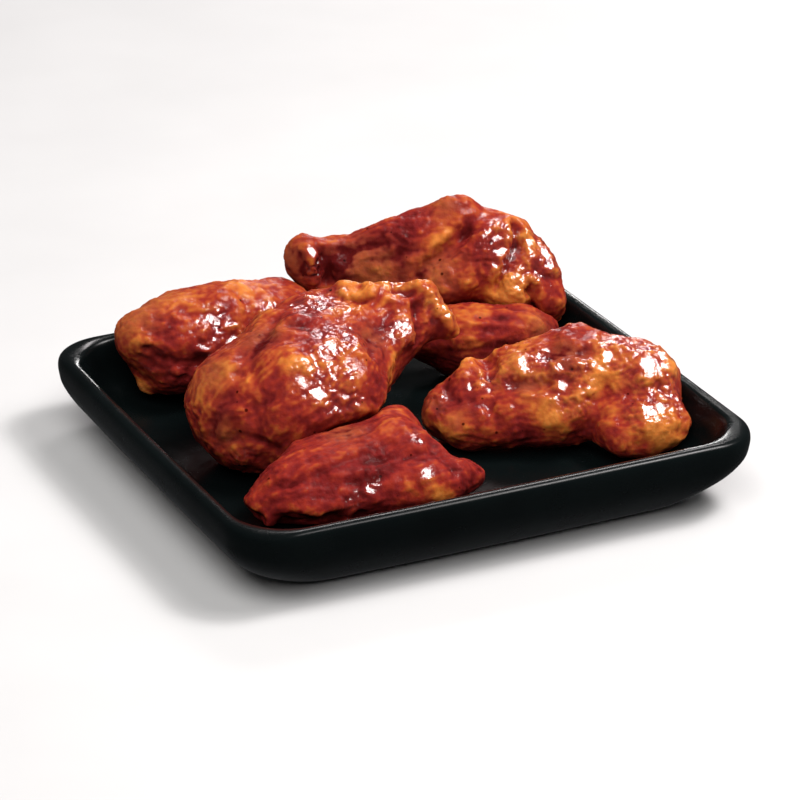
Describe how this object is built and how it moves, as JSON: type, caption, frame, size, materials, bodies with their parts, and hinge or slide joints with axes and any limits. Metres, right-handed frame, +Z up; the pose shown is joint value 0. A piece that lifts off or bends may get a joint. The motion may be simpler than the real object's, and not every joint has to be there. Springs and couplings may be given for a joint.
{
  "type": "chicken wings serving on a dish",
  "caption": "Serving of sauce-glazed chicken wings, drumettes and flats piled on a square black ceramic dish with a raised rim.",
  "frame": {"origin": "middle of the dish's underside, on the surface it stands on", "axes": "+X along the dish's longer side, +Y from the front of the dish to the back, +Z up"},
  "size_m": [0.1658, 0.1558, 0.0569],
  "materials": {
    "black_glaze": "glossy black glaze",
    "glazed_meat": "sticky red-brown sauce glaze over browned skin"
  },
  "bodies": {
    "root": {"dish": "black_glaze", "front_flat": "glazed_meat", "centre_drumette": "glazed_meat", "left_flat": "glazed_meat", "rear_drumette": "glazed_meat", "middle_flat": "glazed_meat", "right_drumette": "glazed_meat"}
  },
  "joints": []
}
